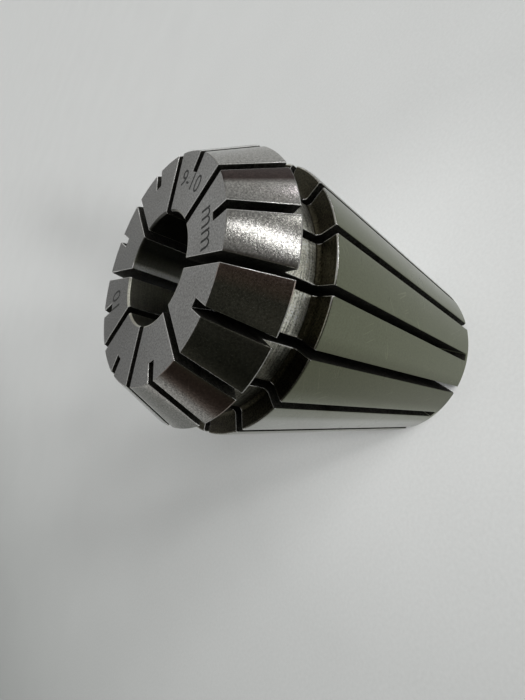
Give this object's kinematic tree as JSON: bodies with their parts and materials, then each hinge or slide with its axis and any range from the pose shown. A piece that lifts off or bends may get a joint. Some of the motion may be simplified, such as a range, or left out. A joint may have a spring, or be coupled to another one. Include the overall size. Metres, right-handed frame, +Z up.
{
  "type": "er collet",
  "caption": "Slotted spring collet with a tapered body, a conical nose, an extraction groove and a straight through bore for a round shank.",
  "frame": {"origin": "centre of the small rear end, on the bore's axis, where the collet stands", "axes": "+Z up the bore from the small rear end to the front face; +X through the middle of a slot sawn from the front"},
  "size_m": [0.026, 0.026, 0.034],
  "materials": {
    "steel": "ground and polished hardened spring steel"
  },
  "bodies": {
    "root": {"collet": "steel"}
  },
  "joints": []
}
